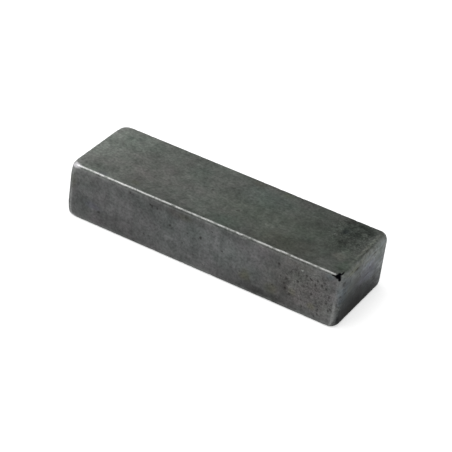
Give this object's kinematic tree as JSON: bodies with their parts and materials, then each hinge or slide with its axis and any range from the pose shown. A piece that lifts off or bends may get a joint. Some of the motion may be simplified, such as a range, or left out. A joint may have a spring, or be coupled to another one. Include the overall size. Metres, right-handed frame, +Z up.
{
  "type": "parallel key",
  "caption": "Square-ended parallel key: a plain rectangular steel bar with broken edges that locks a hub to a keyed shaft.",
  "frame": {"origin": "middle of the bottom wide face, the face that seats on the floor of the shaft's keyway", "axes": "+X along the key's length, which is the shaft's axis in use; +Y across its width; +Z up through its height, from the shaft towards the hub"},
  "size_m": [0.056, 0.018, 0.011],
  "materials": {
    "key_steel": "dull grey oxidised key steel, burnished along the rounded edges"
  },
  "bodies": {
    "root": {"parallel_key": "key_steel"}
  },
  "joints": []
}
